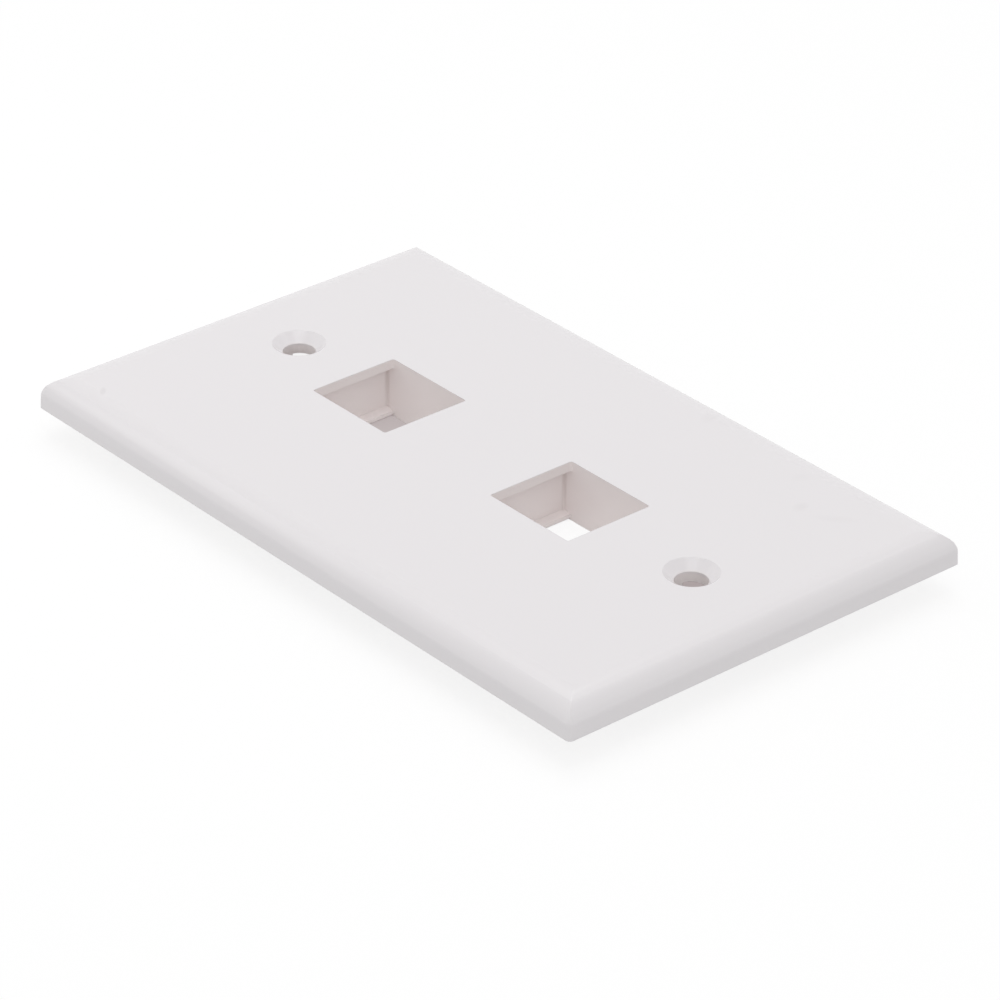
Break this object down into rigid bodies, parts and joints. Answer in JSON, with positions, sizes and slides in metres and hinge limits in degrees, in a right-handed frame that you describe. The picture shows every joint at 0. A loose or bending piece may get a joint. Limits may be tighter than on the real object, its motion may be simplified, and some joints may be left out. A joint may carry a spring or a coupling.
{
  "type": "keystone faceplate",
  "caption": "White moulded wall plate with snap-in ports for keystone jacks, a rolled rim and countersunk screw holes.",
  "frame": {"origin": "under the middle of the plate, on the surface that the backs of the port frames rest on", "axes": "+X across the plate, +Y along it towards the ports' latch ends, +Z out of the face"},
  "size_m": [0.0698, 0.1142, 0.0093],
  "materials": {
    "white_plastic": "smooth moulded, semi-gloss, plain white"
  },
  "bodies": {
    "root": {"faceplate": "white_plastic"}
  },
  "joints": []
}
